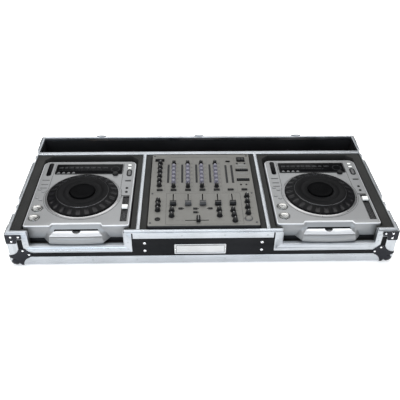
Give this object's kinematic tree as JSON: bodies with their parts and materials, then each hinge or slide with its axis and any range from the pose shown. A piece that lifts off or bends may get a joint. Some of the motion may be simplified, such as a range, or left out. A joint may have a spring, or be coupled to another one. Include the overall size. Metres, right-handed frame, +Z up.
{
  "type": "dj flight case with two players and a mixer",
  "caption": "Low lidless flight case with aluminium edges and ball corners, holding disc players either side of a mixer that lift out of foam-lined bays.",
  "frame": {"origin": "on the floor under the middle of the case, which stands on its ball corners", "axes": "+X to the right as the user stands at the front, +Y to the back, +Z up"},
  "size_m": [1.158, 0.548, 0.15],
  "materials": {
    "black_laminate": "plywood under a black laminate, slightly glossy",
    "grey_foam": "dark grey foam, matt",
    "aluminium": "extruded, satin",
    "chrome": "polished plate",
    "zinc": "zinc plated, satin",
    "handle_black": "moulded black grip",
    "black_metal": "matt black",
    "silver_paint": "satin silver paint",
    "black_plastic": "fine satin",
    "white_plastic": "white satin",
    "button_metal": "polished",
    "mixer_panel": "satin grey paint"
  },
  "bodies": {
    "case": {"base_panel": "black_laminate", "front_wall": "black_laminate", "rear_wall": "black_laminate", "left_wall": "black_laminate", "right_wall": "black_laminate", "bay_frame": "black_laminate", "deck_bay_lining_left": "grey_foam", "deck_bay_lining_right": "grey_foam", "mixer_bay_lining": "grey_foam", "front_rim": "aluminium", "rear_rim": "aluminium", "left_rim": "aluminium", "right_rim": "aluminium", "cutout_trim_left": "aluminium", "cutout_trim_right": "aluminium", "edge_frame": "aluminium", "bay_trim": "aluminium", "corner_brace_front_left": "chrome", "corner_brace_front_right": "chrome", "corner_brace_rear_left": "chrome", "corner_brace_rear_right": "chrome", "ball_corner_front_left": "chrome", "ball_corner_front_right": "chrome", "ball_corner_rear_left": "chrome", "ball_corner_rear_right": "chrome", "latch_dish_front_left": "zinc", "latch_dish_front_right": "zinc", "latch_dish_rear_left": "zinc", "latch_dish_rear_right": "zinc", "handle_plate_left": "zinc", "handle_plate_right": "zinc"},
    "end_handle_left": {"handle_left": "handle_black"},
    "end_handle_right": {"handle_right": "handle_black"},
    "wing_front_left": {"latch_wing_front_left": "zinc"},
    "claw_front_left": {"latch_claw_front_left": "zinc"},
    "wing_front_right": {"latch_wing_front_right": "zinc"},
    "claw_front_right": {"latch_claw_front_right": "zinc"},
    "wing_rear_left": {"latch_wing_rear_left": "zinc"},
    "claw_rear_left": {"latch_claw_rear_left": "zinc"},
    "wing_rear_right": {"latch_wing_rear_right": "zinc"},
    "claw_rear_right": {"latch_claw_rear_right": "zinc"},
    "player_left": {"deck_chassis_left": "black_metal", "deck_shell_left": "silver_paint"},
    "jog_left": {"jog_wheel_left": "black_plastic"},
    "tempo_left": {"tempo_slider_left": "white_plastic"},
    "play_left": {"play_button_left": "button_metal"},
    "cue_left": {"cue_button_left": "button_metal"},
    "player_right": {"deck_chassis_right": "black_metal", "deck_shell_right": "silver_paint"},
    "jog_right": {"jog_wheel_right": "black_plastic"},
    "tempo_right": {"tempo_slider_right": "white_plastic"},
    "play_right": {"play_button_right": "button_metal"},
    "cue_right": {"cue_button_right": "button_metal"},
    "mixer": {"mixer_body": "mixer_panel"},
    "fader_1": {"channel_fader_1": "black_plastic"},
    "fader_2": {"channel_fader_2": "black_plastic"},
    "fader_3": {"channel_fader_3": "black_plastic"},
    "fader_4": {"channel_fader_4": "black_plastic"},
    "fader_master": {"master_fader": "black_plastic"},
    "fader_cross": {"crossfader": "black_plastic"}
  },
  "joints": [
    {"name": "handle_left_swing", "type": "hinge", "parent": "case", "child": "end_handle_left", "pos_m": [-0.572, 0, 0.0905], "axis": [0, 1, 0], "range_deg": [0, 90], "stiffness_Nm_per_rad": 0.15},
    {"name": "handle_right_swing", "type": "hinge", "parent": "case", "child": "end_handle_right", "pos_m": [0.572, 0, 0.0905], "axis": [0, -1, 0], "range_deg": [0, 90], "stiffness_Nm_per_rad": 0.15},
    {"name": "latch_front_left_turn", "type": "hinge", "parent": "case", "child": "wing_front_left", "pos_m": [-0.5613, -0.139, 0.0825], "axis": [-1, 0, 0], "range_deg": [0, 180]},
    {"name": "latch_front_left_throw", "type": "slide", "parent": "case", "child": "claw_front_left", "axis": [0, 0, 1], "range_m": [0, 0.00801]},
    {"name": "latch_front_right_turn", "type": "hinge", "parent": "case", "child": "wing_front_right", "pos_m": [0.5613, -0.139, 0.0825], "axis": [1, 0, 0], "range_deg": [0, 180]},
    {"name": "latch_front_right_throw", "type": "slide", "parent": "case", "child": "claw_front_right", "axis": [0, 0, 1], "range_m": [0, 0.00801]},
    {"name": "latch_rear_left_turn", "type": "hinge", "parent": "case", "child": "wing_rear_left", "pos_m": [-0.5613, 0.139, 0.0825], "axis": [-1, 0, 0], "range_deg": [0, 180]},
    {"name": "latch_rear_left_throw", "type": "slide", "parent": "case", "child": "claw_rear_left", "axis": [0, 0, 1], "range_m": [0, 0.00801]},
    {"name": "latch_rear_right_turn", "type": "hinge", "parent": "case", "child": "wing_rear_right", "pos_m": [0.5613, 0.139, 0.0825], "axis": [1, 0, 0], "range_deg": [0, 180]},
    {"name": "latch_rear_right_throw", "type": "slide", "parent": "case", "child": "claw_rear_right", "axis": [0, 0, 1], "range_m": [0, 0.00801]},
    {"name": "player_left_lift", "type": "slide", "parent": "case", "child": "player_left", "axis": [0, 0, 1], "range_m": [0, 0.16]},
    {"name": "jog_left_spin", "type": "hinge", "parent": "player_left", "child": "jog_left", "pos_m": [-0.367, -0.09475, 0.1308], "axis": [0, 0, 1], "continuous": true},
    {"name": "tempo_left_slide", "type": "slide", "parent": "player_left", "child": "tempo_left", "axis": [0, 1, 0], "range_m": [-0.055, 0.045]},
    {"name": "play_left_press", "type": "slide", "parent": "player_left", "child": "play_left", "axis": [0, 0, 1], "range_m": [-0.0015, 0], "stiffness_N_per_m": 300, "springref_m": 0.0005},
    {"name": "cue_left_press", "type": "slide", "parent": "player_left", "child": "cue_left", "axis": [0, 0, 1], "range_m": [-0.0015, 0], "stiffness_N_per_m": 300, "springref_m": 0.0005},
    {"name": "player_right_lift", "type": "slide", "parent": "case", "child": "player_right", "axis": [0, 0, 1], "range_m": [0, 0.16]},
    {"name": "jog_right_spin", "type": "hinge", "parent": "player_right", "child": "jog_right", "pos_m": [0.367, -0.09475, 0.1308], "axis": [0, 0, 1], "continuous": true},
    {"name": "tempo_right_slide", "type": "slide", "parent": "player_right", "child": "tempo_right", "axis": [0, 1, 0], "range_m": [-0.087, 0.013]},
    {"name": "play_right_press", "type": "slide", "parent": "player_right", "child": "play_right", "axis": [0, 0, 1], "range_m": [-0.0015, 0], "stiffness_N_per_m": 300, "springref_m": 0.0005},
    {"name": "cue_right_press", "type": "slide", "parent": "player_right", "child": "cue_right", "axis": [0, 0, 1], "range_m": [-0.0015, 0], "stiffness_N_per_m": 300, "springref_m": 0.0005},
    {"name": "mixer_lift", "type": "slide", "parent": "case", "child": "mixer", "axis": [0, 0, 1], "range_m": [0, 0.16]},
    {"name": "channel_1_level", "type": "slide", "parent": "mixer", "child": "fader_1", "axis": [0, 1, 0], "range_m": [-0.004, 0.044]},
    {"name": "channel_2_level", "type": "slide", "parent": "mixer", "child": "fader_2", "axis": [0, 1, 0], "range_m": [-0.004, 0.044]},
    {"name": "channel_3_level", "type": "slide", "parent": "mixer", "child": "fader_3", "axis": [0, 1, 0], "range_m": [-0.004, 0.044]},
    {"name": "channel_4_level", "type": "slide", "parent": "mixer", "child": "fader_4", "axis": [0, 1, 0], "range_m": [-0.004, 0.044]},
    {"name": "master_level", "type": "slide", "parent": "mixer", "child": "fader_master", "axis": [0, 1, 0], "range_m": [-0.004, 0.044]},
    {"name": "crossfade", "type": "slide", "parent": "mixer", "child": "fader_cross", "axis": [1, 0, 0], "range_m": [-0.03, 0.022]}
  ],
  "couplings": [
    {"joint": "latch_front_left_throw", "follows": "latch_front_left_turn", "m_per_rad": 0.0025465},
    {"joint": "latch_front_right_throw", "follows": "latch_front_right_turn", "m_per_rad": 0.0025465},
    {"joint": "latch_rear_left_throw", "follows": "latch_rear_left_turn", "m_per_rad": 0.0025465},
    {"joint": "latch_rear_right_throw", "follows": "latch_rear_right_turn", "m_per_rad": 0.0025465}
  ]
}
